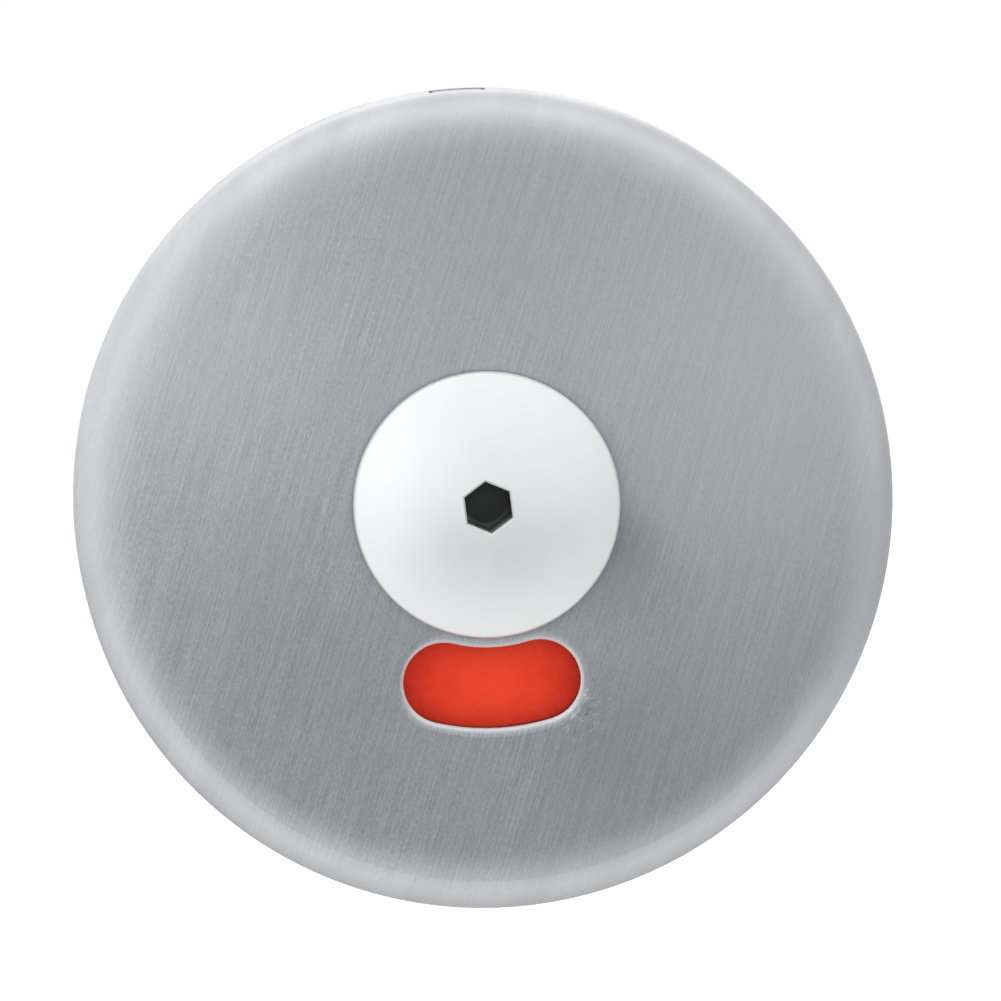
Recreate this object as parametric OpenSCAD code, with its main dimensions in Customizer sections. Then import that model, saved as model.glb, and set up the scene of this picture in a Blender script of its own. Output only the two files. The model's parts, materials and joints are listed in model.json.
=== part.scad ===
// Indicator bolt for a toilet cubicle door. Outside: a pressed round cover with a colour window
// and a domed release knob. Inside: a flat case with a thumb turn that throws the bolt by rack
// and pinion. A square spindle joins the two through the door.
// Millimetres. The spindle lies along Y, the outside looks to -Y, and the bolt is thrown to +X.
// The origin is on the spindle, in the outer face of the door. The bolt is drawn thrown.

/* [Door] */
// Thickness of the door panel between the two halves
door_t = 13; // [12:1:20]
// Distance between the two fixing screws
fixing_pitch = 52; // [48:1:56]

/* [Outside cover] */
// Diameter of the cover
cover_d = 72; // [70:1:84]
// Height of the cover's face above the door
cover_h = 12; // [11:0.5:16]
// Thickness of the sheet it is pressed from
cover_t = 1.2; // [0.8:0.1:1.5]
// Radius of the tight bend at the rim
cover_edge_r = 3.9; // [2:0.1:3.9]
// Radius of the soft shoulder between that bend and the flat face
cover_shoulder_r = 11; // [7:0.5:14]
// Slope in degrees where the bend meets the shoulder
cover_slope = 18; // [12:1:30]
// Width of the notch at the top of the rim, where the cover is prised off
notch_w = 5; // [3:0.2:8]
// Height of the notch
notch_h = 4; // [1:0.5:5]
// How far the notch lies left of the top, in degrees
notch_turn = 1.6; // [0:0.2:10]

/* [Window] */
// Radius of the window's middle line about the spindle
window_r = 16.2; // [15:0.1:18]
// Width of the window
window_w = 7.1; // [5:0.1:8]
// Angle between the centres of its round ends
window_sweep = 30.5; // [20:0.5:40]
// Width of the soft edge where the punch drew the face in
window_edge_w = 0.9; // [0.4:0.1:1]
// Radius of that soft edge
window_edge_r = 1.2; // [1.1:0.1:3]
// Depth of the lip that is drawn in round it, below the face
window_lip = 2; // [1.5:0.5:3.5]

/* [Release knob] */
// Diameter of the knob
knob_d = 23.4; // [21:0.1:26]
// Height of its straight rim
knob_rim_h = 0.9; // [0.5:0.1:2]
// Height of the dome above that rim
knob_rise = 3.1; // [2.5:0.1:4]
// Radius that blends rim and dome
knob_edge_r = 0.5; // [0.2:0.1:0.8]
// Thickness of the crown over the end of the stem
knob_crown_t = 1.4; // [1:0.1:2]
// Hexagon of the release key, across flats
hex_af = 4; // [3:0.5:5]
// Depth of the hexagon below the crown
hex_depth = 5; // [4:0.5:5.5]
// Turn of the hexagon from a point at the top, in degrees
hex_turn = 5.5; // [0:0.5:30]

/* [Stem and indicator] */
// Diameter of the stem in its bush
stem_d = 10; // [9.5:0.5:12]
// Diameter of the neck that carries the knob
neck_d = 8; // [7:0.5:8]
// Distance between the two flats that drive the indicator
stem_flats = 8; // [7.5:0.1:9]
// Square of the spindle
spindle_s = 5; // [4:0.5:5.5]
// Thickness of the indicator disc
disc_t = 1.2; // [0.8:0.1:2]
// Angle of each colour field
field_sweep = 88; // [70:1:89]
// Diameter of the pin that stops the disc after a quarter turn
stop_pin_d = 2; // [1.5:0.1:3]

/* [Outside base] */
// Thickness of the base plate
base_t = 2.5; // [2:0.1:4]
// Thickness of its upright ring and of its ribs
base_wall = 2; // [1.2:0.1:3]
// Diameter of the threaded posts
post_d = 7; // [6:0.5:8]
// How far each post stops short of the door's far face
post_short = 4; // [2:0.5:6]

/* [Bolt] */
// Width of the bolt's nose
bolt_w = 12; // [10:0.5:16]
// Thickness of the bolt
bolt_t = 6; // [5:0.5:8]
// Length of the shoulder that ties the two prongs to the nose
bolt_shoulder = 3.5; // [3:0.5:6]
// Height of each prong beyond the rack's root
prong_h = 5; // [4:0.5:7]
// Module of the rack and pinion
gear_m = 0.8; // [0.7:0.05:1]
// Number of teeth on the pinion
gear_n = 16; // [14:1:20]

/* [Inside case] */
// Thickness of the case's side wall
case_wall = 2; // [1.6:0.1:3]
// Thickness of the case's top
case_top_t = 2.4; // [2:0.1:3]
// Radius of the case's outer edge
case_edge_r = 4; // [2:0.5:4]
// Distance from each fixing screw to the end of the case
case_end = 8; // [7:0.5:10]
// Thickness of the back plate
plate_t = 2; // [2:0.1:3]
// Diameter of the fixing screws
fixing_d = 4; // [3.5:0.5:5]
// Diameter of the screws that hold the back plate
plate_screw_d = 2.5; // [2:0.5:3]
// Thickness of the spring leaf
leaf_t = 0.4; // [0.2:0.1:0.6]
// Length of the spring leaf
leaf_l = 16; // [12:1:20]

/* [Thumb turn] */
// Diameter of the turn's collar
collar_d = 28; // [24:1:32]
// Height of the collar
collar_h = 5; // [4:0.5:8]
// Diameter of the round grip
grip_d = 26; // [20:1:30]
// Thickness of the grip
grip_t = 7; // [6:0.5:9]
// Radius of the grip's rounded edge
grip_edge_r = 2.5; // [1:0.5:2.5]
// Depth of the finger dish in each side of the grip
grip_dish = 0.9; // [0.4:0.1:1.2]
// Diameter of the spigot that runs in the case
spigot_d = 12; // [11:0.5:13]

/* [Hidden] */

$fn = 96;

// Clearances
seat_gap = 0.02;      // fixed pieces that are pushed together
run_gap = 0.06;       // shafts in their bushes
face_gap = 0.1;       // flat faces that slide over each other
slide_gap = 0.2;      // the bolt in its guides, the nibs in their pockets
end_gap = 0.3;        // ends of shafts and pins, short of what they face
free_gap = 0.4;       // moving pieces that pass each other
spindle_gap = 0.05;   // the spindle in its square sockets
cut = 1;              // how far a cutter reaches past what it cuts
sunk = 0.5;           // how far a rib, boss or tooth reaches into what carries it

// Outside stack: heights above the door face, and thicknesses
cover_in = cover_h - cover_t;
lip_t = 0.8;
edge_lift = 0.004;    // how far the arc of the window's soft edge rises past the face
lip_low = cover_h - window_lip;
field_t = 0.2;
disc_top = lip_low - free_gap - field_t;
disc_low = disc_top - disc_t;
flange_t = 1;
flange_low = disc_low - flange_t;
washer_h = 0.8;
bush_top = flange_low - washer_h;
bush_flange_t = 0.8;
boss_top = bush_top - bush_flange_t;
knob_washer_t = 0.4;
knob_washer_in = 1.5;
knob_low = cover_h + knob_washer_t + face_gap;
knob_top = knob_low + knob_rim_h + knob_rise;
stem_end = 0.2;
stem_top = knob_top - knob_crown_t;
stem_socket_l = 7;

// Base: lip under the cover, upright ring, snap nibs, ribs and centre boss
flange_lip_t = 1.2;
flange_lip_in = 0.05;
spigot_r = cover_d / 2 - cover_t - face_gap;
cover_wall_top = cover_h - cover_shoulder_r + (cover_shoulder_r - cover_edge_r) * cos(cover_slope);
ring_short = 1.5;
ring_top = cover_wall_top - ring_short;
nib_d = 3;
nib_out = 0.4;
nib_z = (flange_lip_t + ring_top) / 2;
rib_count = 8;
rib_top = (base_t + boss_top) / 2;
bush_t = 1.4;
bush_r = stem_d / 2 + run_gap + bush_t;
stem_flange_out = 2.5;
stem_flange_r = stem_d / 2 + stem_flange_out;
stop_out = 1;
stop_turn = 45;
stop_r = stem_flange_r + stop_out + stop_pin_d / 2;
boss_rim_t = 1.5;
boss_r = stop_r + stop_pin_d / 2 + boss_rim_t;

// Indicator disc and its colour fields past the window
disc_lap = 1.3;
disc_r = window_r + window_w / 2 + disc_lap;
field_rim = 0.5;
field_lap = 0.8;
quarter = 90;

// Snap rings: thickness, open gap in degrees, groove depth and how far they stand out
clip_t = 0.8;
clip_open = 50;
groove = 0.6;
clip_out = 2;
clip_land = 0.6;
clip_low = stem_end + clip_land;
recess_h = clip_low + clip_t + slide_gap;
recess_room = 1;
recess_r = stem_d / 2 + clip_out + recess_room;

// Posts
post_flange_out = 1;
post_flange_af = post_d + 2 * post_flange_out;
post_flange_t = 1.5;
post_boss_t = 2.5;
post_end = -(door_t - post_short);
post_hole_top = 1;

// Rack and pinion
pressure_angle = 20;
backlash = 0.15;
gear_add = 0.8 * gear_m;
gear_ded = gear_m;
gear_r = gear_m * gear_n / 2;
gear_tip_r = gear_r + gear_add;
gear_root_r = gear_r - gear_ded;
gear_base_r = gear_r * cos(pressure_angle);
tooth_w = (PI * gear_m - backlash) / 2;
throw = gear_r * PI / 2;
flank_steps = 6;

// Bolt
rack_root = gear_r + gear_ded;
prong_out = rack_root + prong_h;
bolt_heel = gear_tip_r + free_gap + throw;
bolt_stop = bolt_heel + bolt_shoulder;
stop_gap = 0.6;
case_w = 2 * (bolt_stop + stop_gap + case_wall);
bolt_tip = case_w / 2 + throw;
tail_out = 1;
bolt_tail = -gear_tip_r - tail_out;
nose_r = 2;

// Inside stack: heights above the door's inside face, and thicknesses
bolt_low = plate_t + slide_gap;
bolt_high = bolt_low + bolt_t;
leaf_room = 1.8;
case_in = bolt_high + leaf_room;
case_h = case_in + case_top_t;
case_l = fixing_pitch + 2 * case_end;
turn_bush_t = 1.5;
turn_bush_out = 2.5;
turn_bush_flange_t = 1;
turn_low = case_h + turn_bush_flange_t + face_gap;
collar_top = turn_low + collar_h;
collar_edge_r = 1;
turn_clip_low = case_in - end_gap - clip_t;
spigot_end = turn_clip_low - end_gap;
grip_up = 2;
grip_centre = collar_top + grip_up;
spindle_reach = 6;
turn_socket_top = collar_top + spindle_reach;
gear_low = plate_t + end_gap;
gear_high = spigot_end - end_gap;
hub_t = 1;
hub_r = spindle_s / sqrt(2) + hub_t;
grub_d = 3;
grub_l = 6;
grub_af = 1.5;
grub_socket = 2;

// Case fastening: guides beside the bolt, pillars and bosses round the screws
guide_t = 1.6;
guide_in = prong_out + slide_gap;
pillar_t = 2.5;
pillar_r = fixing_d / 2 + pillar_t;
fixing_clear = 0.25;
fixing_short = 1;
fixing_af = 0.625 * fixing_d;
fixing_recess = 1.4;
screw_boss_t = 1.7;
screw_boss_r = plate_screw_d / 2 + screw_boss_t;
boss_x = 0.55 * case_w / 2;
boss_y = guide_in + guide_t + screw_boss_r + sunk;
plate_screw_l = 6;
plate_screw_af = plate_screw_d / 2;
plate_screw_recess = 0.6;

// Spring leaf on the plain prong, held by a peg of the case
leaf_in = gear_tip_r + free_gap;
leaf_y = -(prong_out + leaf_in) / 2;
leaf_w = prong_out - leaf_in - 2 * end_gap;
peg_r = 1;

// Finishes
steel = [0.64, 0.65, 0.67];
polished = [0.88, 0.88, 0.89];
black_steel = [0.16, 0.16, 0.17];
zinc = [0.60, 0.61, 0.62];
nylon = [0.90, 0.89, 0.85];
red = [0.89, 0.25, 0.16];
green = [0.16, 0.55, 0.27];

// Outside pieces stand on the door's outer face, inside pieces on its inner face
module outside() {
    rotate([90, 0, 0]) children();
}

module inside() {
    rotate([90, 0, 0]) translate([0, 0, -door_t]) mirror([0, 0, 1]) children();
}

module both_fixings() {
    for (side = [-1, 1]) translate([0, side * fixing_pitch / 2, 0]) children();
}

module four_bosses() {
    for (sx = [-1, 1], sy = [-1, 1]) translate([sx * boss_x, sy * boss_y, 0]) children();
}

module tube(outer_r, inner_r, low, high) {
    translate([0, 0, low]) difference() {
        cylinder(r = outer_r, h = high - low);
        translate([0, 0, -cut]) cylinder(r = inner_r, h = high - low + 2 * cut);
    }
}

module hexagon(af, low, high) {
    translate([0, 0, low]) rotate(90) cylinder(r = af / sqrt(3), h = high - low, $fn = 6);
}

module square_bar(side, low, high) {
    translate([-side / 2, -side / 2, low]) cube([side, side, high - low]);
}

// Flat sector from the axis, as a cutter for rings
module wedge(middle, sweep, reach) {
    far = reach / cos(sweep / 2);
    polygon([
        [0, 0],
        far * [cos(middle - sweep / 2), sin(middle - sweep / 2)],
        far * [cos(middle), sin(middle)],
        far * [cos(middle + sweep / 2), sin(middle + sweep / 2)]
    ]);
}

module ring_sector(outer_r, inner_r, middle, sweep) {
    intersection() {
        difference() {
            circle(r = outer_r);
            circle(r = inner_r);
        }
        wedge(middle, sweep, outer_r + cut);
    }
}

// Bar that follows an arc about the spindle, with round ends
module arc_bar(mean_r, width, from, sweep, low, high) {
    rotate(from) rotate_extrude(angle = sweep)
        translate([mean_r - width / 2, low]) square([width, high - low]);
    for (end = [from, from + sweep])
        rotate(end) translate([mean_r, 0, low]) cylinder(d = width, h = high - low);
}

module snap_ring(shaft_d, low) {
    translate([0, 0, low]) linear_extrude(clip_t) difference() {
        circle(r = shaft_d / 2 + clip_out);
        circle(r = shaft_d / 2 - groove + seat_gap);
        wedge(90, clip_open, shaft_d);
    }
}

module snap_groove(shaft_d, low) {
    tube(shaft_d, shaft_d / 2 - groove, low - spindle_gap, low + clip_t + spindle_gap);
}

// Half section of the pressed cover: wall, tight bend, soft shoulder, flat face
module cover_section(inset, low) {
    edge_r = cover_edge_r - inset;
    shoulder_r = cover_shoulder_r - inset;
    wall_r = cover_d / 2 - inset;
    bend_x = cover_d / 2 - cover_edge_r;
    shoulder_x = bend_x - (cover_shoulder_r - cover_edge_r) * sin(cover_slope);
    shoulder_z = cover_h - cover_shoulder_r;
    reach = 2 * shoulder_r;
    translate([0, low]) square([wall_r, cover_wall_top - low]);
    translate([0, low]) square([shoulder_x, cover_h - inset - low]);
    translate([bend_x, cover_wall_top]) circle(r = edge_r);
    intersection() {
        translate([shoulder_x, shoulder_z]) circle(r = shoulder_r);
        translate([shoulder_x, shoulder_z])
            polygon([[0, 0], reach * [sin(cover_slope), cos(cover_slope)], [0, reach]]);
    }
}

// Cutter for the window: the straight wall of its lip, opened out by the soft edge at the face
module window_section(half_w) {
    edge_x = half_w + window_edge_w;
    edge_low = cover_h + edge_lift - window_edge_r;
    translate([0, lip_low - cut]) square([half_w, window_lip + 2 * cut]);
    difference() {
        translate([half_w - seat_gap, edge_low]) square([window_edge_w + seat_gap, window_edge_r + cut]);
        translate([edge_x, edge_low]) circle(r = window_edge_r);
    }
}

module window_cutter() {
    for (end = [-1, 1])
        rotate(end * window_sweep / 2) translate([0, -window_r, 0])
            rotate_extrude() window_section(window_w / 2);
    rotate(270 - window_sweep / 2) rotate_extrude(angle = window_sweep)
        translate([window_r, 0]) {
            window_section(window_w / 2);
            mirror([1, 0]) window_section(window_w / 2);
        }
}

module snap_nibs(r, depth, extra) {
    for (turn = [30, 150, 270])
        rotate(turn) translate([r, 0, nib_z]) rotate([0, 90, 0])
            cylinder(d = nib_d + 2 * extra, h = depth);
}

module cover_shell() {
    difference() {
        rotate_extrude() intersection() {
            cover_section(0, flange_lip_t);
            translate([0, flange_lip_t]) square([cover_d, cover_h]);
        }
        rotate_extrude() intersection() {
            cover_section(cover_t, flange_lip_t - cut);
            translate([0, flange_lip_t - cut]) square([cover_d, cover_h + cut]);
        }
    }
}

module outside_cover() {
    lip_w = window_w + 2 * lip_t;
    color(steel) outside() difference() {
        union() {
            cover_shell();
            arc_bar(window_r, lip_w, 270 - window_sweep / 2, window_sweep, lip_low, cover_in + sunk);
        }
        cylinder(r = neck_d / 2 + 2 * end_gap, h = cover_h + cut);
        window_cutter();
        snap_nibs(spigot_r - cut, nib_out + slide_gap + cut, slide_gap);
        rotate(notch_turn) translate([-notch_w / 2, cover_d / 2 - cover_t - cut, flange_lip_t - cut])
            cube([notch_w, cover_t + 2 * cut, notch_h + cut]);
    }
}

// Lug that stands in the cover's notch, so that the window always sits at the bottom
module locating_lug() {
    rotate(notch_turn) intersection() {
        cylinder(r = cover_d / 2 - face_gap, h = flange_lip_t + notch_h - slide_gap);
        translate([free_gap - notch_w / 2, spigot_r - base_wall / 2, 0])
            cube([notch_w - 2 * free_gap, cover_d / 2, cover_h]);
    }
}

module outside_base() {
    post_hole_r = post_d / 2 + seat_gap;
    color(zinc) outside() difference() {
        union() {
            cylinder(r = cover_d / 2 - flange_lip_in, h = flange_lip_t - seat_gap);
            cylinder(r = spigot_r, h = base_t);
            tube(spigot_r, spigot_r - base_wall, 0, ring_top);
            cylinder(r = boss_r, h = boss_top);
            for (i = [0 : rib_count - 1])
                rotate((i + 0.5) * 360 / rib_count) translate([0, -base_wall / 2, 0])
                    cube([spigot_r - base_wall / 2, base_wall, rib_top]);
            both_fixings() cylinder(r = post_flange_af / 2 + post_boss_t, h = rib_top);
            snap_nibs(spigot_r - base_wall / 2, base_wall / 2 + nib_out, 0);
            locating_lug();
        }
        translate([0, 0, -cut]) cylinder(r = bush_r + seat_gap, h = boss_top + 2 * cut);
        translate([0, 0, -cut]) cylinder(r = recess_r, h = recess_h + cut);
        both_fixings() translate([0, 0, -cut]) cylinder(r = post_hole_r, h = base_t + 2 * cut);
        both_fixings() hexagon(post_flange_af + 2 * seat_gap, base_t, ring_top + cut);
        rotate(stop_turn) translate([stop_r, 0, base_t])
            cylinder(d = stop_pin_d + 2 * seat_gap, h = boss_top);
    }
}

module threaded_posts() {
    color(steel) outside() both_fixings() difference() {
        union() {
            translate([0, 0, post_end]) cylinder(d = post_d, h = base_t - post_end);
            hexagon(post_flange_af, base_t, base_t + post_flange_t);
        }
        translate([0, 0, post_end - cut])
            cylinder(d = fixing_d + 2 * seat_gap, h = post_hole_top - post_end + cut);
    }
}

module stop_pin() {
    color(steel) outside() rotate(stop_turn) translate([stop_r, 0, base_t])
        cylinder(d = stop_pin_d, h = disc_top - end_gap - base_t);
}

module stem_bush() {
    color(nylon) outside() difference() {
        union() {
            translate([0, 0, recess_h]) cylinder(r = bush_r, h = boss_top - recess_h);
            translate([0, 0, boss_top]) cylinder(r = stem_flange_r, h = bush_flange_t);
        }
        translate([0, 0, recess_h - cut]) cylinder(r = stem_d / 2 + run_gap, h = bush_top + cut);
    }
}

module knob_washer() {
    color(nylon) outside()
        tube(knob_d / 2 - knob_washer_in, neck_d / 2 + free_gap, cover_h, cover_h + knob_washer_t);
}

// Half section of the knob: straight rim, blend radius and dome
module knob_section() {
    rim_r = knob_d / 2;
    dome_r = (rim_r * rim_r + knob_rise * knob_rise) / (2 * knob_rise);
    dome_z = knob_top - dome_r;
    blend_x = rim_r - knob_edge_r;
    blend_z = dome_z + sqrt(pow(dome_r - knob_edge_r, 2) - blend_x * blend_x);
    slope = [blend_x, blend_z - dome_z] / (dome_r - knob_edge_r);
    translate([0, knob_low]) square([rim_r, blend_z - knob_low]);
    translate([blend_x, blend_z]) circle(r = knob_edge_r);
    intersection() {
        translate([0, dome_z]) circle(r = dome_r);
        translate([0, dome_z]) polygon([[0, 0], 2 * dome_r * slope, [0, 2 * dome_r]]);
        translate([0, knob_low]) square([rim_r, knob_top]);
    }
}

module release_knob() {
    bevel = 0.3;
    bevel_top = knob_top + bevel;
    color(polished) outside() difference() {
        rotate_extrude() knob_section();
        translate([0, 0, knob_low - cut])
            cylinder(r = neck_d / 2 + seat_gap, h = stem_top - knob_low + cut);
        rotate(hex_turn) {
            hexagon(hex_af, stem_top - cut, knob_top + cut);
            translate([0, 0, knob_top - 2 * bevel]) rotate(90) cylinder(
                r1 = hex_af / sqrt(3) - bevel,
                r2 = hex_af / sqrt(3) + 2 * bevel,
                h = bevel_top - knob_top + 2 * bevel,
                $fn = 6
            );
        }
    }
}

module release_stem() {
    color(black_steel) outside() difference() {
        union() {
            translate([0, 0, stem_end]) cylinder(d = stem_d, h = flange_low - stem_end);
            translate([0, 0, flange_low]) cylinder(r = stem_flange_r, h = flange_t);
            intersection() {
                translate([0, 0, disc_low]) cylinder(d = stem_d, h = disc_t);
                translate([-stem_d, -stem_flats / 2, disc_low])
                    cube([2 * stem_d, stem_flats, disc_t]);
            }
            translate([0, 0, disc_low]) cylinder(d = neck_d, h = stem_top - disc_low);
        }
        snap_groove(stem_d, clip_low);
        square_bar(spindle_s + 2 * spindle_gap, stem_end - cut, stem_end + stem_socket_l);
        rotate(hex_turn) hexagon(hex_af, stem_top - hex_depth, stem_top + cut);
    }
}

module stem_clip() {
    color(steel) outside() snap_ring(stem_d, clip_low);
}

// Coned spring washer: its rim rests on the bush, its bore lifts the stem's flange
module spring_washer() {
    sheet = 0.3;
    bore_r = stem_d / 2 + end_gap;
    low = bush_top + seat_gap;
    high = flange_low;
    color(steel) outside() rotate_extrude() polygon([
        [bore_r, high - sheet],
        [bore_r, high],
        [stem_flange_r, low + sheet],
        [stem_flange_r, low]
    ]);
}

module indicator_disc() {
    stop_slot = stop_pin_d + 2 * end_gap;
    color(nylon) outside() translate([0, 0, disc_low]) difference() {
        cylinder(r = disc_r, h = disc_t);
        translate([0, 0, -cut]) intersection() {
            cylinder(d = stem_d + 2 * seat_gap, h = disc_t + 2 * cut);
            translate([-stem_d, -stem_flats / 2 - seat_gap, 0])
                cube([2 * stem_d, stem_flats + 2 * seat_gap, disc_t + 2 * cut]);
        }
        arc_bar(stop_r, stop_slot, stop_turn - quarter, quarter, -cut, disc_t + cut);
    }
}

module colour_field(middle) {
    outside() translate([0, 0, disc_top]) linear_extrude(field_t)
        ring_sector(disc_r - field_rim, window_r - window_w / 2 - field_lap, middle, field_sweep);
}

module red_field() {
    color(red) colour_field(270);
}

module green_field() {
    color(green) colour_field(180);
}

module spindle() {
    low = -door_t - turn_socket_top + end_gap;
    high = stem_end + stem_socket_l - end_gap;
    point_r = spindle_s / 2;
    corner_r = spindle_s / sqrt(2) + sunk;
    point_h = corner_r - point_r;
    color(steel) outside() intersection() {
        square_bar(spindle_s, low, high);
        rotate_extrude() polygon([
            [0, low],
            [point_r, low],
            [corner_r, low + point_h],
            [corner_r, high - point_h],
            [point_r, high],
            [0, high]
        ]);
    }
}

// Flat outline with two round ends, as wide as the case less an inset all round
module case_outline(inset) {
    end_r = case_w / 2 - inset;
    run = case_l - case_w;
    square([2 * end_r, run], center = true);
    for (side = [-1, 1]) translate([0, side * run / 2]) circle(r = end_r);
}

// Half section of the case's rounded edge
module case_section() {
    square([case_w / 2, case_h - case_edge_r]);
    square([case_w / 2 - case_edge_r, case_h]);
    translate([case_w / 2 - case_edge_r, case_h - case_edge_r]) circle(r = case_edge_r);
}

module case_body() {
    run = case_l - case_w;
    for (side = [-1, 1]) translate([0, side * run / 2, 0]) rotate_extrude() case_section();
    rotate([90, 0, 0]) translate([0, 0, -run / 2]) linear_extrude(run) {
        case_section();
        mirror([1, 0]) case_section();
    }
}

module fixing_hole() {
    translate([0, 0, -cut]) cylinder(r = fixing_d / 2 + fixing_clear, h = case_h + 2 * cut);
    countersink(fixing_d, case_h, seat_gap);
}

module bolt_case() {
    peg_end = bolt_high + end_gap;
    inner_r = case_w / 2 - case_wall;
    color(steel) inside() difference() {
        union() {
            difference() {
                case_body();
                translate([0, 0, -cut]) linear_extrude(case_in + cut) case_outline(case_wall);
            }
            intersection() {
                translate([0, 0, plate_t]) linear_extrude(case_in - plate_t + sunk)
                    case_outline(case_wall / 2);
                union() {
                    both_fixings() cylinder(r = pillar_r, h = case_in + sunk);
                    four_bosses() cylinder(r = screw_boss_r, h = case_in + sunk);
                    for (side = [-1, 1])
                        translate([-inner_r, side * (guide_in + guide_t / 2) - guide_t / 2, 0])
                            cube([2 * inner_r, guide_t, case_in + sunk]);
                }
            }
            translate([0, leaf_y, peg_end]) cylinder(r = peg_r, h = case_in - peg_end + sunk);
        }
        translate([0, -bolt_w / 2 - slide_gap, plate_t])
            cube([case_w, bolt_w + 2 * slide_gap, bolt_t + 2 * slide_gap]);
        translate([0, 0, case_in - cut])
            cylinder(r = spigot_d / 2 + run_gap + turn_bush_t + seat_gap, h = case_top_t + 2 * cut);
        both_fixings() fixing_hole();
        four_bosses() translate([0, 0, -cut])
            cylinder(d = plate_screw_d + 2 * seat_gap, h = plate_t + plate_screw_l + 2 * cut);
    }
}

// Countersunk head below a face, or with room round it the cutter for its seat
module countersink(shank_d, top, room = 0) {
    translate([0, 0, top - shank_d / 2])
        cylinder(r1 = shank_d / 2 + room, r2 = shank_d + room, h = shank_d / 2);
    if (room > 0) translate([0, 0, top]) cylinder(r = shank_d + room, h = cut);
}

module back_plate() {
    color(steel) inside() difference() {
        linear_extrude(plate_t - seat_gap) case_outline(case_wall + face_gap);
        translate([0, 0, -cut]) cylinder(r = hub_r + face_gap, h = plate_t + 2 * cut);
        both_fixings() translate([0, 0, -cut])
            cylinder(r = fixing_d / 2 + fixing_clear, h = plate_t + 2 * cut);
        four_bosses() {
            translate([0, 0, -cut]) cylinder(d = plate_screw_d + 2 * seat_gap, h = plate_t + 2 * cut);
            mirror([0, 0, 1]) countersink(plate_screw_d, 0, seat_gap);
        }
    }
}

module plate_screws() {
    color(steel) inside() four_bosses() difference() {
        union() {
            cylinder(d = plate_screw_d, h = plate_t + plate_screw_l);
            mirror([0, 0, 1]) countersink(plate_screw_d, 0);
        }
        hexagon(plate_screw_af, -cut, plate_screw_recess);
    }
}

module fixing_screws() {
    shank_low = fixing_short - door_t;
    color(steel) inside() both_fixings() difference() {
        union() {
            translate([0, 0, shank_low]) cylinder(d = fixing_d, h = case_h - shank_low);
            countersink(fixing_d, case_h);
        }
        hexagon(fixing_af, case_h - fixing_recess, case_h + cut);
    }
}

module turn_bush() {
    bore_r = spigot_d / 2 + run_gap;
    color(nylon) inside() {
        tube(bore_r + turn_bush_t, bore_r, case_in, case_h);
        tube(bore_r + turn_bush_t + turn_bush_out, bore_r, case_h, case_h + turn_bush_flange_t);
    }
}

// Bowed leaf: its ends press on the case, its crown rubs on the bolt's plain prong
module spring_leaf() {
    crown = bolt_high + face_gap;
    rise = case_in - seat_gap - crown - leaf_t;
    bow_r = (leaf_l * leaf_l / 4 + rise * rise) / (2 * rise);
    color(steel) inside() difference() {
        translate([0, leaf_y + leaf_w / 2, 0]) rotate([90, 0, 0]) linear_extrude(leaf_w)
            intersection() {
                translate([0, crown + bow_r + leaf_t]) difference() {
                    circle(r = bow_r + leaf_t);
                    circle(r = bow_r);
                }
                translate([-leaf_l / 2, 0]) square([leaf_l, case_in]);
            }
        translate([0, leaf_y, 0]) cylinder(r = peg_r + slide_gap, h = case_h);
    }
}

module rack_tooth(x) {
    tip = tooth_w / 2 - gear_add * tan(pressure_angle);
    root = tooth_w / 2 + gear_ded * tan(pressure_angle);
    translate([x, gear_r]) polygon([
        [-tip, -gear_add],
        [tip, -gear_add],
        [root, gear_ded],
        [root, gear_ded + sunk],
        [-root, gear_ded + sunk],
        [-root, gear_ded]
    ]);
}

// Forked bolt: a rack on the upper prong, a plain lower prong, and the nose ahead of the shoulder
module bolt() {
    pitch = PI * gear_m;
    plain_in = gear_tip_r + free_gap;
    first = ceil((bolt_tail + pitch / 2) / pitch);
    last = floor((bolt_heel - pitch / 2) / pitch);
    color(steel) inside() translate([0, 0, bolt_low]) linear_extrude(bolt_t) {
        translate([bolt_heel, -prong_out]) square([bolt_shoulder, 2 * prong_out]);
        translate([bolt_tail, rack_root]) square([bolt_heel - bolt_tail + cut, prong_h]);
        translate([bolt_tail, -prong_out])
            square([bolt_heel - bolt_tail + cut, prong_out - plain_in]);
        for (i = [first : last]) rack_tooth(i * pitch);
        translate([bolt_heel, -bolt_w / 2]) square([bolt_tip - nose_r - bolt_heel, bolt_w]);
        translate([bolt_heel, -bolt_w / 2 + nose_r])
            square([bolt_tip - bolt_heel, bolt_w - 2 * nose_r]);
        for (side = [-1, 1])
            translate([bolt_tip - nose_r, side * (bolt_w / 2 - nose_r)]) circle(r = nose_r);
    }
}

// Involute flank: half the tooth's angle at a radius, in degrees
function involute(r) =
    let (a = acos(min(1, gear_base_r / r))) tan(a) * 180 / PI - a;
function half_tooth(r) =
    tooth_w / 2 / gear_r * 180 / PI + involute(gear_r) - involute(max(r, gear_base_r));
function polar(r, a) = r * [cos(a), sin(a)];
function flank_r(i) = gear_root_r + (gear_tip_r - gear_root_r) * i / flank_steps;
function tooth_points(middle) = concat(
    [for (i = [0 : flank_steps]) polar(flank_r(i), middle - half_tooth(flank_r(i)))],
    [for (i = [flank_steps : -1 : 0]) polar(flank_r(i), middle + half_tooth(flank_r(i)))]
);

module pinion() {
    step = 360 / gear_n;
    color(steel) inside() difference() {
        union() {
            translate([0, 0, gear_low]) linear_extrude(gear_high - gear_low)
                polygon([for (i = [0 : gear_n - 1]) each tooth_points(90 + (i + 0.5) * step)]);
            translate([0, 0, end_gap]) cylinder(r = hub_r, h = gear_low);
        }
        square_bar(spindle_s + 2 * spindle_gap, -cut, case_h);
    }
}

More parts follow.
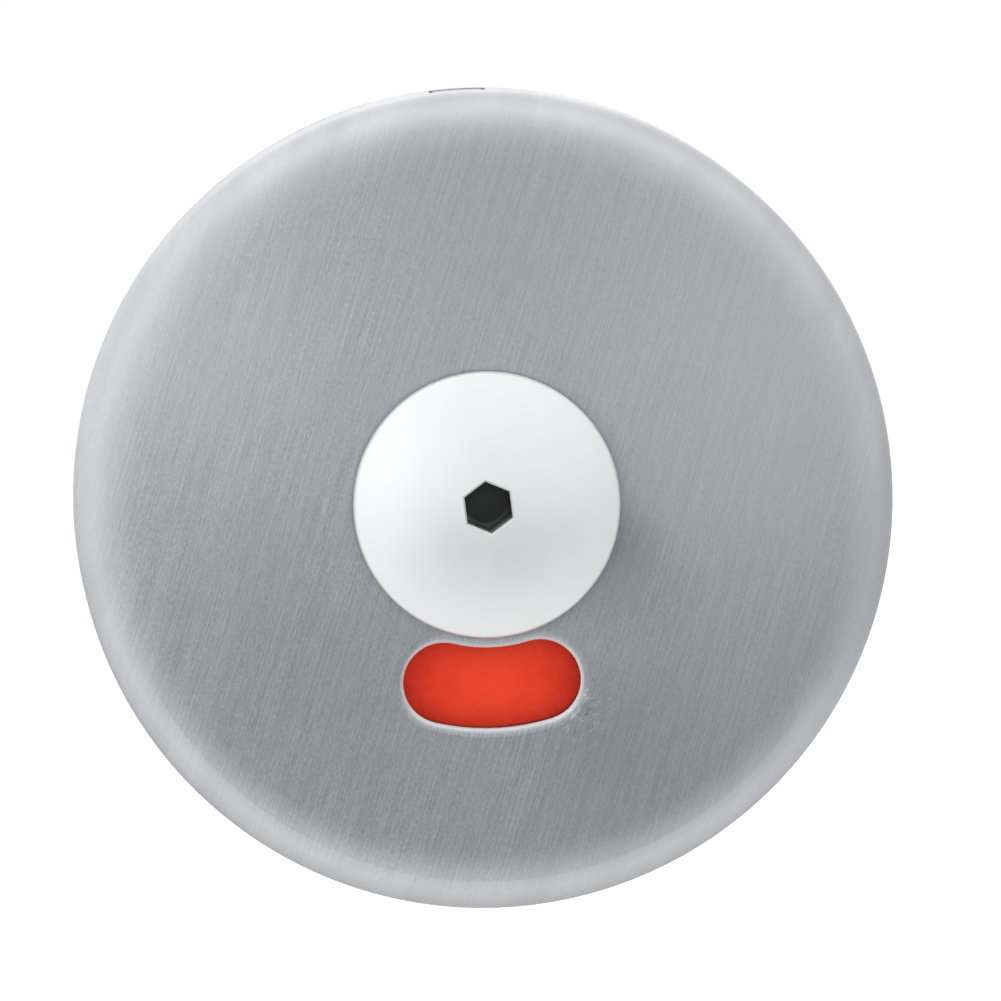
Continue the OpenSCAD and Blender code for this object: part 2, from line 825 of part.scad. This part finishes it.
// Half section of the grip, a thick coin with a rounded edge
module grip_section() {
    r = grip_d / 2;
    flat = grip_t / 2 - grip_edge_r;
    translate([0, -grip_t / 2]) square([r - grip_edge_r, grip_t]);
    translate([0, -flat]) square([r, 2 * flat]);
    for (side = [-1, 1]) translate([r - grip_edge_r, side * flat]) circle(r = grip_edge_r);
}

module grip() {
    dish_r = grip_d;
    intersection() {
        translate([0, 0, grip_centre]) difference() {
            rotate([90, 0, 0]) rotate_extrude() intersection() {
                grip_section();
                translate([0, -grip_t]) square([grip_d, 2 * grip_t]);
            }
            for (side = [-1, 1])
                translate([0, side * (dish_r + grip_t / 2 - grip_dish), grip_up]) sphere(r = dish_r);
        }
        translate([-grip_d, -grip_d, collar_top - cut]) cube([2 * grip_d, 2 * grip_d, 2 * grip_d]);
    }
}

module collar() {
    r = collar_d / 2;
    rotate_extrude() {
        translate([0, turn_low]) square([r, collar_h - collar_edge_r]);
        translate([0, turn_low]) square([r - collar_edge_r, collar_h]);
        translate([r - collar_edge_r, collar_top - collar_edge_r]) circle(r = collar_edge_r);
    }
}

module thumb_turn() {
    color(polished) inside() difference() {
        union() {
            collar();
            translate([0, 0, spigot_end]) cylinder(d = spigot_d, h = turn_low + cut - spigot_end);
            grip();
        }
        snap_groove(spigot_d, turn_clip_low);
        square_bar(spindle_s + 2 * spindle_gap, spigot_end - cut, turn_socket_top);
        translate([0, 0, turn_low + collar_h / 2]) rotate([90, 0, 0])
            cylinder(d = grub_d + 2 * seat_gap, h = collar_d);
    }
}

module turn_clip() {
    color(steel) inside() snap_ring(spigot_d, turn_clip_low);
}

module grub_screw() {
    start = spindle_s / 2 + seat_gap;
    color(black_steel) inside() translate([0, 0, turn_low + collar_h / 2]) rotate([90, 0, 0])
        difference() {
            translate([0, 0, start]) cylinder(d = grub_d, h = grub_l);
            hexagon(grub_af, start + grub_l - grub_socket, start + grub_l + cut);
        }
}

outside_cover();
outside_base();
threaded_posts();
stop_pin();
stem_bush();
knob_washer();
release_knob();
release_stem();
stem_clip();
spring_washer();
indicator_disc();
red_field();
green_field();
spindle();
bolt_case();
back_plate();
plate_screws();
fixing_screws();
turn_bush();
spring_leaf();
bolt();
pinion();
thumb_turn();
turn_clip();
grub_screw();
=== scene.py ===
"""Looks of a toilet indicator bolt: brushed cover, polished release knob and red colour field in front,
satin bolt case and thumb turn behind. Lengths are in metres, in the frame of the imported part: the
spindle lies along Y, the outside looks to -Y and Z is up."""

import json
import math

import bpy
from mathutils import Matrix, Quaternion, Vector

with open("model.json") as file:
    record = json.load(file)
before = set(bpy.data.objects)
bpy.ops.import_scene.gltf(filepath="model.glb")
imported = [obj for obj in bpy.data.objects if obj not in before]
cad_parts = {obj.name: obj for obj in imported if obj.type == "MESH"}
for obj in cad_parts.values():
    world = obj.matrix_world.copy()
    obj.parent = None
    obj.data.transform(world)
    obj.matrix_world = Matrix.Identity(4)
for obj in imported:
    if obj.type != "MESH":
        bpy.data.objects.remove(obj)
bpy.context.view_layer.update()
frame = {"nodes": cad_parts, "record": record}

MM = 0.001


def grey(level, tint=(1.0, 1.0, 1.0)):
    """A grey of the given level, with a tint if one is given."""
    return tuple(level * part for part in tint) + (1,)


def mm(*lengths):
    """Metres from millimetres."""
    return tuple(length * MM for length in lengths)


# Tints of steel
COOL = (0.966, 1.0, 1.055)
PALE = (0.982, 1.0, 1.025)
BLUED = (0.95, 1.0, 1.1)

WHITE = (1, 1, 1, 1)
BLACK = (0, 0, 0, 1)

# Camera: place, point it looks at, lean of its upright to the right, lens for a 36 mm sensor
CAMERA_AT = Vector((-0.058, -1.3, 0.1009))
CAMERA_AIM = Vector((0.0014, -0.0087, 0.0))
CAMERA_LEAN = math.radians(1.89)
CAMERA_LENS = 531.0
CAMERA_REACH = 100
SENSOR = 36.0

# White world, which is the background and the even light on the part
WORLD_LIGHT = 1.0

# Floor close under the part, where it keeps the shadow. FLOOR_GLOW is light of its own where it is seen
# directly, which makes it white, and FLOOR_BOUNCE is light of its own that reaches the part.
FLOOR_Z = -0.06
FLOOR_HALF = 3.0
FLOOR_COLOUR = (0.80, 0.80, 0.80, 1)
FLOOR_ROUGHNESS = 0.9
FLOOR_GLOW = 0.20
FLOOR_BOUNCE = 0.10

# Soft boxes: name, place, width and height, radiance
LAMPS = (
    ("top_box", (-0.05, -0.06, 0.60), (0.90, 0.40), 0.5),
    ("left_box", (-0.40, -0.20, 0.40), (0.45, 0.45), 0.6),
    ("rear_box", (0.35, 0.60, 0.35), (0.50, 0.50), 1.5),
)

# Card before the part: place, left, right, low and high edge, brightness of its two halves and the
# heights between which they meet
CARD_Y = -0.09
CARD_BOX = (-0.165, 0.20, -0.13, 0.12)
CARD_HIGH = 0.80
CARD_LOW = 0.20
CARD_MEET = (-0.026, -0.007)
CARD_TINT = (0.985, 1.0, 1.015, 1)
# Where its grey fades: upwards, downwards, to the left and, up to its edge, to the right
CARD_FADE_UP = (0.030, 0.110)
CARD_FADE_DOWN = (-0.095, -0.040)
CARD_FADE_LEFT = (-0.085, -0.025)
CARD_FADE_RIGHT = 0.012
# Share of the grey that is left where it fades upwards and to the right
CARD_LEFT_OVER = 0.3
# Bright spot at its upper left
SPOT_AT = (-0.085, 0, 0.025)
SPOT_REACH = 0.07
SPOT_LIGHT = 0.5

# Tube round the part: radius, ends, number of sides
TUBE_R = 0.21
TUBE_FROM = -0.10
TUBE_TO = 0.40
TUBE_SIDES = 64
# Angle of its light side, and brightness from the dark to the light side
TUBE_LIGHT = math.radians(112)
TUBE_LOW = 0.80
TUBE_HIGH = 1.14
# What is taken off beside the part, on both sides and on the right, beyond this share of the radius
TUBE_BESIDE = 0.6
TUBE_BOTH = 0.14
TUBE_RIGHT = 0.30
# Share of it that is left behind the cover, and the depths between which it falls to that
TUBE_BEHIND = 0.80
TUBE_BEHIND_AT = (0.0, 0.12)
# Far half: depths where it begins, heights and brightness from low to high, and a brighter upright band
# in its middle
TUBE_FAR_AT = (0.17, 0.25)
TUBE_FAR_Z = (-0.15, 0.19)
TUBE_FAR = (0.30, 1.35)
TUBE_BAND_X = (0.05, 0.09)
TUBE_BAND = 0.35

# Brushing on the cover leans to the right of upright and runs through the sheet
BRUSH_LEAN = math.radians(18.9)
BRUSH_TURN = (0, BRUSH_LEAN, 0)
BRUSH_THROUGH = 80 * MM
# Its streaks: width and length in mm, shift in mm, detail, roughness of the noise, weight
STREAKS = (
    (0.11, 0.35, (0, 0, 0), 1.0, 0.5, 0.36),
    (0.12, 2.5, (7, 0, 0), 2.0, 0.6, 0.30),
    (0.15, 16, (0, 0, 5), 2.0, 0.6, 0.34),
)
# Radii between which the cover's face turns into its rim, which is rougher and lighter by a painted sheen
RIM_RADII = mm(30.8, 35.5)
# Patches of painted sheen and painted shade on the cover's face: middle and reach in mm, grey level, tint,
# share
SHEEN_AND_SHADE_PATCHES = (
    # Painted sheen to the right and at the upper left, painted shade at the top and lower left
    ((28, -9, 8), 26, 0.80, PALE, 0.24),
    ((-27, -9, 15), 18, 0.80, PALE, 0.24),
    ((0, -10, 27), 20, 0.30, COOL, 0.20),
    ((-17, -10, -13), 20, 0.30, COOL, 0.24),
    # Painted shadow of the knob at its right, and painted shade below the window's right end
    ((12.5, -11, -8), 7, 0.20, COOL, 0.24),
    ((12.2, -11, -3.5), 5, 0.20, COOL, 0.36),
    ((11, -11, -21), 11, 0.25, COOL, 0.22),
)
# Scuffs by the right end of the window: middle, reach, turn, and for light and dark ones the range of
# the noise and the grey level
SCUFFS_AT = mm(7.6, -12, -18.4)
SCUFFS_REACH = 3.2 * MM
SCUFFS_TURN = (0, math.radians(-35), 0)
SCUFFS = ((0.57, 0.63, 0.92), (0.40, 0.35, 0.22))
# Chips on the rim's edge by the door, at the upper left
CHIPS_AT = mm(-19, -2, 30.5)
CHIPS_REACH = 14 * MM
CHIPS_Y = mm(-1.6, -1.4)
# Middle of the window in the cover, and reach of the painted shade on its wall
WINDOW_AT = mm(0, -11, -16.2)
WINDOW_REACH = 14 * MM
# Points of the two colour fields that come to the middle of the window, where their painted sheen centres
RED_MIDDLE = mm(0, -10, -16.2)
GREEN_MIDDLE = mm(16.2, -10, 0)
# Painted light and wear on the walls of the hexagon socket, at its lower side where light from above falls
SOCKET_WEAR_AND_LIGHT_AT = mm(0, -13.8, -2.2)
SOCKET_WEAR_AND_LIGHT_REACH = 2.8 * MM
# Painted light on a band round the socket's floor at its lower side: place, radii, heights where it begins
SOCKET_BAND_AT = mm(0, -12.5, -2)
SOCKET_BAND_REACH = 4 * MM
SOCKET_BAND_RADII = mm(1.7, 1.95)
SOCKET_BAND_Z = mm(-0.4, -1.2)
SOCKET_BAND_SHARE = 0.5
# Radii between which both end, outside the socket
SOCKET_END = mm(2.5, 2.7)

# Rays that round an edge in shading
EDGE_SAMPLES = 4


class Finish:
    """A procedural material in the making. Grain sizes are metres on the part."""

    def __init__(self, name, roughness, metallic=0.0):
        self.material = bpy.data.materials.new(name)
        self.material.use_nodes = True
        self.tree = self.material.node_tree
        self.shader = self.tree.nodes["Principled BSDF"]
        self.shader.inputs["Roughness"].default_value = roughness
        self.shader.inputs["Metallic"].default_value = metallic
        self.place = self.node("ShaderNodeTexCoord").outputs["Object"]

    def node(self, kind, **settings):
        made = self.tree.nodes.new(kind)
        for key, value in settings.items():
            setattr(made, key, value)
        return made

    def feed(self, socket, value):
        """Link a socket to another, or set its value."""
        if isinstance(value, bpy.types.NodeSocket):
            self.tree.links.new(value, socket)
        else:
            socket.default_value = value

    def set(self, name, value):
        self.feed(self.shader.inputs[name], value)

    def math(self, operation, *values):
        """One step of arithmetic on sockets or numbers."""
        made = self.node("ShaderNodeMath", operation=operation)
        for socket, value in zip(made.inputs, values):
            self.feed(socket, value)
        return made.outputs[0]

    def product(self, *values):
        total = values[0]
        for value in values[1:]:
            total = self.math("MULTIPLY", total, value)
        return total

    def span(self, value, low, high, to_low=0.0, to_high=1.0, soft=False):
        """Stretch the range low..high of a value over to_low..to_high, held at its ends."""
        made = self.node("ShaderNodeMapRange", interpolation_type="SMOOTHSTEP" if soft else "LINEAR")
        for socket, number in zip(made.inputs, (value, low, high, to_low, to_high)):
            self.feed(socket, number)
        return made.outputs[0]

    def blend(self, factor, low, high):
        """From one colour at a factor of 0 to another at 1."""
        made = self.node("ShaderNodeMix", data_type="RGBA")
        self.feed(made.inputs[0], factor)
        self.feed(made.inputs[6], low)
        self.feed(made.inputs[7], high)
        return made.outputs[2]

    def grain(self, size, turn=(0, 0, 0), detail=2.0, rough=0.5, shift=(0, 0, 0)):
        """Noise with grains of the given size along the turned axes, about 0.5 on average."""
        axes = self.node("ShaderNodeMapping", vector_type="TEXTURE")
        self.feed(axes.inputs["Vector"], self.place)
        axes.inputs["Location"].default_value = shift
        axes.inputs["Rotation"].default_value = turn
        axes.inputs["Scale"].default_value = size
        noise = self.node("ShaderNodeTexNoise")
        self.feed(noise.inputs["Vector"], axes.outputs[0])
        noise.inputs["Scale"].default_value = 1.0
        noise.inputs["Detail"].default_value = detail
        noise.inputs["Roughness"].default_value = rough
        return noise.outputs["Fac"]

    def specks(self, size, detail=2.0, rough=0.5):
        """Noise with grains of one size each way."""
        return self.grain((size,) * 3, detail=detail, rough=rough)

    def axes(self):
        """X, Y and Z on the part."""
        parts = self.node("ShaderNodeSeparateXYZ")
        self.feed(parts.inputs[0], self.place)
        return parts.outputs[0], parts.outputs[1], parts.outputs[2]

    def near(self, centre, reach):
        """1 at a point, falling to 0 at its reach."""
        away = self.node("ShaderNodeVectorMath", operation="DISTANCE")
        self.feed(away.inputs[0], self.place)
        away.inputs[1].default_value = centre
        return self.span(away.outputs["Value"], 0.0, reach, 1.0, 0.0)

    def out_from_axis(self, low, high):
        """0 up to one radius about the spindle, rising softly to 1 at another."""
        flat = self.node("ShaderNodeVectorMath", operation="MULTIPLY")
        self.feed(flat.inputs[0], self.place)
        flat.inputs[1].default_value = (1, 0, 1)
        away = self.node("ShaderNodeVectorMath", operation="LENGTH")
        self.feed(away.inputs[0], flat.outputs[0])
        return self.span(away.outputs["Value"], low, high, soft=True)

    def towards(self, angle):
        """Distance from the spindle along a direction that stands at an angle to X."""
        along = self.node("ShaderNodeVectorMath", operation="DOT_PRODUCT")
        self.feed(along.inputs[0], self.place)
        along.inputs[1].default_value = (math.cos(angle), 0, math.sin(angle))
        return along.outputs["Value"]

    def slope(self, steep, flat):
        """1 where the surface leans far from the door's plane, 0 where it lies flat."""
        parts = self.node("ShaderNodeSeparateXYZ")
        self.feed(parts.inputs[0], self.node("ShaderNodeNewGeometry").outputs["Normal"])
        return self.span(self.math("ABSOLUTE", parts.outputs["Y"]), steep, flat, 1.0, 0.0)

    def seen_directly(self):
        """1 for rays from the camera and from gloss or glass, 0 for light on the object."""
        path = self.node("ShaderNodeLightPath")
        seen = path.outputs["Is Camera Ray"]
        for name in ("Is Glossy Ray", "Is Transmission Ray"):
            seen = self.math("MAXIMUM", seen, path.outputs[name])
        return seen

    def edge_normal(self, radius):
        """Surface direction with edges rounded to a small radius."""
        soft = self.node("ShaderNodeBevel", samples=EDGE_SAMPLES)
        soft.inputs["Radius"].default_value = radius
        return soft.outputs[0]

    def bump(self, height, depth, strength, normal=None):
        made = self.node("ShaderNodeBump")
        made.inputs["Strength"].default_value = strength
        made.inputs["Distance"].default_value = depth
        self.feed(made.inputs["Height"], height)
        if normal is not None:
            self.feed(made.inputs["Normal"], normal)
        self.set("Normal", made.outputs[0])

    def glow(self, colour, strength):
        """Light of its own and no colour under other light."""
        self.set("Base Color", BLACK)
        self.set("Specular IOR Level", 0.0)
        self.set("Emission Color", colour)
        self.set("Emission Strength", strength)


def brushing(look):
    """Streaks of several lengths along the brushing, about 0.5 on average."""
    total = None
    for width, length, shift, detail, rough, weight in STREAKS:
        size = (width * MM, BRUSH_THROUGH, length * MM)
        streak = look.product(look.grain(size, BRUSH_TURN, detail, rough, mm(*shift)), weight)
        total = streak if total is None else look.math("ADD", total, streak)
    return total


def brushed_steel(look, streaks, rim, inner):
    """Dark and light streaks, fainter to the right and above, under soft clouds, a painted sheen on the
    rim, and patches of painted sheen and painted shade.
    """
    x, _, z = look.axes()
    # Lighter on the rim: a painted sheen on the cover's bend
    dark = look.blend(rim, grey(0.40, COOL), grey(0.71, PALE))
    light = look.blend(rim, grey(0.66, COOL), grey(0.81, PALE))
    fade_right = look.span(x, *mm(-10, 28), 1.0, 0.65)
    fade_above = look.span(z, *mm(-5, 20), 1.0, 0.8)
    contrast = look.product(look.span(streaks, 0.37, 0.63, -0.5, 0.5), look.product(fade_right, fade_above))
    steel = look.blend(look.math("ADD", contrast, 0.5), dark, light)
    cloud = look.grain((4 * MM, BRUSH_THROUGH, 14 * MM), BRUSH_TURN)
    steel = look.blend(look.span(cloud, 0.42, 0.68, 0.0, 0.2), steel, grey(0.50, COOL))
    # Painted sheen and painted shade in patches on the face
    for centre, reach, level, tint, share in SHEEN_AND_SHADE_PATCHES:
        patch = look.span(look.near(mm(*centre), reach * MM), 0.0, 1.0, 0.0, share, soft=True)
        steel = look.blend(look.product(patch, inner), steel, grey(level, tint))
    return steel


def with_marks(look, steel):
    """Scuffs by the window and chips on the rim's edge by the door."""
    by_window = look.span(look.near(SCUFFS_AT, SCUFFS_REACH), 0.0, 0.5)
    scratch = look.grain(mm(0.9, 0.9, 0.4), SCUFFS_TURN, 3.0, 0.65)
    for low, high, level in SCUFFS:
        scuffed = look.product(by_window, look.span(scratch, low, high))
        steel = look.blend(look.product(scuffed, 0.5), steel, grey(level))
    _, y, _ = look.axes()
    by_edge = look.product(look.span(look.near(CHIPS_AT, CHIPS_REACH), 0.0, 0.4), look.span(y, *CHIPS_Y))
    flaw = look.span(look.grain(mm(1.6, 3, 1.6), rough=0.6), 0.53, 0.60)
    return look.blend(look.product(by_edge, flaw, 0.85), steel, grey(0.10))


def with_window_highlight_and_shade(look, steel, inner):
    """Painted highlight on the window's round edge, wider below, and painted shade on the wall inside it.
    """
    _, _, z = look.axes()
    wide = look.product(look.slope(0.80, 0.955), look.span(z, *mm(-16, -18.5)))
    edge = look.product(look.math("MAXIMUM", wide, look.slope(0.74, 0.90)), inner)
    # Painted highlight on the round edge
    steel = look.blend(edge, steel, grey(0.97))
    by_window = look.span(look.near(WINDOW_AT, WINDOW_REACH), 0.05, 0.2)
    # Painted shade on the wall inside the window
    return look.blend(look.product(look.slope(0.60, 0.74), by_window, 0.85), steel, grey(0.06))


def brushed_stainless():
    look = Finish("brushed_stainless", 0.54, 1.0)
    streaks = brushing(look)
    rim = look.out_from_axis(*RIM_RADII)
    inner = look.math("SUBTRACT", 1.0, rim)
    steel = with_marks(look, brushed_steel(look, streaks, rim, inner))
    look.set("Base Color", with_window_highlight_and_shade(look, steel, inner))
    rougher_rim = look.product(rim, 0.08)
    look.set("Roughness", look.math("ADD", look.span(streaks, 0.3, 0.7, 0.49, 0.59), rougher_rim))
    look.bump(streaks, 0.006 * MM, 0.4)
    across = look.node("ShaderNodeCombineXYZ")
    across.inputs["X"].default_value = math.cos(BRUSH_LEAN)
    across.inputs["Z"].default_value = -math.sin(BRUSH_LEAN)
    look.set("Anisotropic", 0.5)
    look.set("Tangent", across.outputs[0])
    return look


def polished_stainless():
    look = Finish("polished_stainless", 0.48, 0.75)
    smudge = look.grain(mm(3, 3, 4), detail=3.0)
    hair = look.grain(mm(0.06, 0.06, 3), (0, math.radians(40), 0))
    look.set("Base Color", look.blend(look.span(smudge, 0.3, 0.7), grey(0.905), grey(0.925)))
    look.set("Roughness", look.span(smudge, 0.3, 0.7, 0.45, 0.51))
    look.bump(hair, 0.002 * MM, 0.2)
    return look


def satin_stainless():
    look = Finish("satin_stainless", 0.34, 1.0)
    fine = look.grain(mm(0.12, 0.12, 5), detail=3.0)
    broad = look.grain(mm(6, 6, 14))
    steel = look.blend(look.span(fine, 0.35, 0.65), grey(0.48, COOL), grey(0.58, COOL))
    steel = look.blend(look.span(broad, 0.4, 0.7, 0.0, 0.25), steel, grey(0.46, COOL))
    look.set("Base Color", steel)
    look.set("Roughness", look.span(fine, 0.3, 0.7, 0.28, 0.40))
    look.bump(fine, 0.006 * MM, 0.4, look.edge_normal(0.15 * MM))
    return look


def plain_steel():
    look = Finish("plain_steel", 0.32, 1.0)
    plate = look.specks(2.2 * MM, 4.0)
    pit = look.specks(0.15 * MM)
    look.set("Base Color", look.blend(look.span(plate, 0.35, 0.65), grey(0.56, PALE), grey(0.62, COOL)))
    look.set("Roughness", look.span(plate, 0.3, 0.7, 0.29, 0.36))
    look.bump(pit, 0.006 * MM, 0.4, look.edge_normal(0.12 * MM))
    return look


def spring_steel():
    look = Finish("spring_steel", 0.28, 1.0)
    heat = look.specks(3 * MM, 3.0)
    look.set("Base Color", look.blend(look.span(heat, 0.35, 0.65), grey(0.27, BLUED), grey(0.38, COOL)))
    look.set("Roughness", look.span(heat, 0.3, 0.7, 0.22, 0.34))
    look.bump(heat, 0.004 * MM, 0.4, look.edge_normal(0.06 * MM))
    return look


def socket_wear_and_painted_light(look):
    """Painted light and wear on the walls and on a band round the floor, at the lower side of the hexagon
    socket where light from above falls.
    """
    by_walls = look.span(look.near(SOCKET_WEAR_AND_LIGHT_AT, SOCKET_WEAR_AND_LIGHT_REACH), 0.0, 0.6)
    walls = look.product(by_walls, look.span(look.specks(0.35 * MM, 3.0), 0.32, 0.58), look.slope(0.2, 0.6))
    _, _, z = look.axes()
    by_floor = look.span(look.near(SOCKET_BAND_AT, SOCKET_BAND_REACH), 0.0, 0.3)
    below = look.product(look.out_from_axis(*SOCKET_BAND_RADII), look.span(z, *SOCKET_BAND_Z))
    band = look.product(below, by_floor, SOCKET_BAND_SHARE)
    inside = look.math("SUBTRACT", 1.0, look.out_from_axis(*SOCKET_END))
    return look.product(look.math("MAXIMUM", walls, band), inside)


def black_steel():
    look = Finish("black_steel", 0.48, 0.0)
    cloud = look.specks(0.8 * MM, 4.0)
    steel = look.blend(look.span(cloud, 0.35, 0.65), grey(0.066), grey(0.095, COOL))
    # Painted light and wear at the socket's lower side
    look.set("Base Color", look.blend(socket_wear_and_painted_light(look), steel, grey(0.50)))
    look.set("Roughness", look.span(cloud, 0.3, 0.7, 0.42, 0.56))
    look.bump(cloud, 0.01 * MM, 0.5, look.edge_normal(0.08 * MM))
    return look


def cast_alloy():
    look = Finish("cast_alloy", 0.55, 1.0)
    skin = look.specks(0.5 * MM, 4.0, 0.6)
    flow = look.grain(mm(7, 5, 12), detail=3.0)
    metal = look.blend(look.span(skin, 0.35, 0.65), grey(0.40, COOL), grey(0.50, COOL))
    metal = look.blend(look.span(flow, 0.45, 0.7, 0.0, 0.3), metal, grey(0.36))
    look.set("Base Color", metal)
    look.set("Roughness", look.span(skin, 0.3, 0.7, 0.48, 0.62))
    look.bump(skin, 0.03 * MM, 0.6, look.edge_normal(0.25 * MM))
    return look


def nylon():
    look = Finish("nylon", 0.42)
    milk = look.specks(4 * MM, 3.0)
    fleck = look.specks(0.3 * MM)
    resin = look.blend(look.span(milk, 0.35, 0.65), (0.74, 0.72, 0.65, 1), (0.80, 0.79, 0.73, 1))
    look.set("Base Color", resin)
    look.set("Roughness", look.span(fleck, 0.3, 0.7, 0.36, 0.50))
    look.bump(fleck, 0.008 * MM, 0.4, look.edge_normal(0.12 * MM))
    return look


def field_plastic(name, deep, bright, sheen_and_mottle, specks, middle):
    """Colour field, lighter by a painted sheen about the point that shows in the middle of the window,
    and mottled.
    """
    look = Finish(name, 0.38)
    look.set("Specular IOR Level", 0.12)
    cloud = look.specks(2.4 * MM, 3.0)
    fine = look.specks(0.5 * MM, 3.0, 0.6)
    speck = look.specks(0.35 * MM, 1.0)
    paint = look.blend(look.span(cloud, 0.35, 0.65), deep, bright)
    # Painted sheen about the middle of the window
    paint = look.blend(look.product(look.near(middle, 9 * MM), 0.9), paint, sheen_and_mottle)
    paint = look.blend(look.span(fine, 0.45, 0.70, 0.0, 0.35), paint, sheen_and_mottle)
    paint = look.blend(look.span(speck, 0.76, 0.82, 0.0, 0.2), paint, specks)
    look.set("Base Color", paint)
    look.set("Roughness", look.span(cloud, 0.3, 0.7, 0.30, 0.46))
    look.bump(cloud, 0.02 * MM, 0.3)
    return look


def red_plastic():
    return field_plastic(
        "red_plastic", (0.76, 0.022, 0.008, 1), (0.86, 0.034, 0.012, 1), (0.98, 0.070, 0.024, 1),
        (0.90, 0.45, 0.35, 1), RED_MIDDLE,
    )


def green_plastic():
    return field_plastic(
        "green_plastic", (0.016, 0.25, 0.070, 1), (0.024, 0.32, 0.095, 1), (0.040, 0.38, 0.12, 1),
        (0.35, 0.75, 0.45, 1), GREEN_MIDDLE,
    )


FINISHES = {
    make.__name__: make().material
    for make in (
        brushed_stainless, polished_stainless, satin_stainless, plain_steel, spring_steel,
        black_steel, cast_alloy, nylon, red_plastic, green_plastic,
    )
}


def dress_nodes():
    for part in frame["record"]["subparts"]:
        slots = frame["nodes"][part["node"]].data.materials
        finish = FINISHES[part["material_slot"]]
        if not slots:
            slots.append(finish)
        for i in range(len(slots)):
            slots[i] = finish


def make_world():
    world = bpy.data.worlds.new("studio")
    world.use_nodes = True
    back = world.node_tree.nodes["Background"]
    back.inputs["Color"].default_value = WHITE
    back.inputs["Strength"].default_value = WORLD_LIGHT
    bpy.context.scene.world = world


def stage_piece(name, points, faces, finish, place=(0, 0, 0)):
    mesh = bpy.data.meshes.new(name)
    mesh.from_pydata(points, [], faces)
    mesh.materials.append(finish.material)
    piece = bpy.data.objects.new(name, mesh)
    piece.location = place
    bpy.context.scene.collection.objects.link(piece)
    return piece


def only_gloss(piece):
    piece.visible_camera = False
    piece.visible_diffuse = False
    piece.visible_shadow = False


def make_floor():
    """A white floor that gloss doesn't see, since the tube reaches below it."""
    look = Finish("floor", FLOOR_ROUGHNESS)
    look.set("Base Color", FLOOR_COLOUR)
    look.set("Specular IOR Level", 0.0)
    look.set("Emission Color", WHITE)
    look.set("Emission Strength", look.span(look.seen_directly(), 0.0, 1.0, FLOOR_BOUNCE, FLOOR_GLOW))
    half = FLOOR_HALF
    corners = [(-half, -half, 0), (half, -half, 0), (half, half, 0), (-half, half, 0)]
    floor = stage_piece("floor", corners, [(0, 1, 2, 3)], look, (0, 0, FLOOR_Z))
    floor.visible_glossy = False


def make_tube():
    """A tube about the spindle that only gloss sees: open to the front and lightest at its upper left,
    closed behind and graded there from a bright top to a dark foot."""
    look = Finish("tube", 1.0)
    x, y, z = look.axes()
    beside = look.math("ABSOLUTE", x)
    side = (TUBE_BESIDE * TUBE_R, TUBE_R)
    shade = look.span(look.towards(TUBE_LIGHT), -TUBE_R, TUBE_R, TUBE_LOW, TUBE_HIGH)
    both = look.span(beside, *side, 0.0, TUBE_BOTH)
    right = look.span(x, *side, 0.0, TUBE_RIGHT)
    shade = look.math("SUBTRACT", shade, look.math("ADD", both, right))
    shade = look.product(shade, look.span(y, *TUBE_BEHIND_AT, 1.0, TUBE_BEHIND))
    graded = look.span(z, *TUBE_FAR_Z, *TUBE_FAR)
    band = look.span(beside, *TUBE_BAND_X, TUBE_BAND, 0.0)
    far_shade = look.math("ADD", graded, band)
    far = look.span(y, *TUBE_FAR_AT)
    shade = look.product(shade, look.math("SUBTRACT", 1.0, far))
    look.glow(WHITE, look.math("ADD", shade, look.product(far_shade, far)))
    count = TUBE_SIDES
    turns = [2 * math.pi * i / count for i in range(count)]
    circle = [(TUBE_R * math.cos(turn), TUBE_R * math.sin(turn)) for turn in turns]
    rings = [(across, along, up) for along in (TUBE_FROM, TUBE_TO) for across, up in circle]
    sides = [(i, (i + 1) % count, count + (i + 1) % count, count + i) for i in range(count)]
    end = tuple(range(count, 2 * count))
    only_gloss(stage_piece("tube", rings, sides + [end], look))


def make_card():
    """A card before the object that only gloss sees: grey ahead, darker in its lower half, and fading
    to white or close to it on all sides."""
    left, right, low, high = CARD_BOX
    look = Finish("card", 1.0)
    x, _, z = look.axes()
    drop = look.product(
        look.span(z, *CARD_MEET, 1 - CARD_LOW, 1 - CARD_HIGH),
        look.span(z, *CARD_FADE_UP, 1.0, CARD_LEFT_OVER),
        look.span(z, *CARD_FADE_DOWN),
        look.span(x, *CARD_FADE_LEFT),
        look.span(x, CARD_FADE_RIGHT, right, 1.0, CARD_LEFT_OVER),
    )
    spot = look.product(look.near(SPOT_AT, SPOT_REACH), SPOT_LIGHT)
    look.glow(CARD_TINT, look.math("SUBTRACT", look.math("ADD", 1.0, spot), drop))
    corners = [(left, 0, low), (right, 0, low), (right, 0, high), (left, 0, high)]
    only_gloss(stage_piece("card", corners, [(0, 1, 2, 3)], look, (0, CARD_Y, 0)))


def make_lights():
    """Soft boxes that look at the origin and that gloss doesn't see."""
    for name, place, size, radiance in LAMPS:
        lamp = bpy.data.lights.new(name, "AREA")
        lamp.shape = "RECTANGLE"
        lamp.size, lamp.size_y = size
        lamp.energy = radiance * math.pi * size[0] * size[1]
        box = bpy.data.objects.new(name, lamp)
        box.location = place
        box.rotation_mode = "QUATERNION"
        box.rotation_quaternion = (-Vector(place)).to_track_quat("-Z", "Y")
        box.visible_camera = False
        box.visible_glossy = False
        bpy.context.scene.collection.objects.link(box)


def make_camera():
    data = bpy.data.cameras.new("photo_camera")
    data.sensor_width = SENSOR
    data.lens = CAMERA_LENS
    data.clip_end = CAMERA_REACH
    camera = bpy.data.objects.new("photo_camera", data)
    camera.location = CAMERA_AT
    camera.rotation_mode = "QUATERNION"
    level = (CAMERA_AIM - CAMERA_AT).to_track_quat("-Z", "Y")
    camera.rotation_quaternion = level @ Quaternion((0, 0, 1), -CAMERA_LEAN)
    bpy.context.scene.collection.objects.link(camera)
    bpy.context.scene.camera = camera


dress_nodes()
make_world()
make_floor()
make_lights()
make_card()
make_tube()
make_camera()
bpy.context.scene.view_settings.view_transform = "Standard"
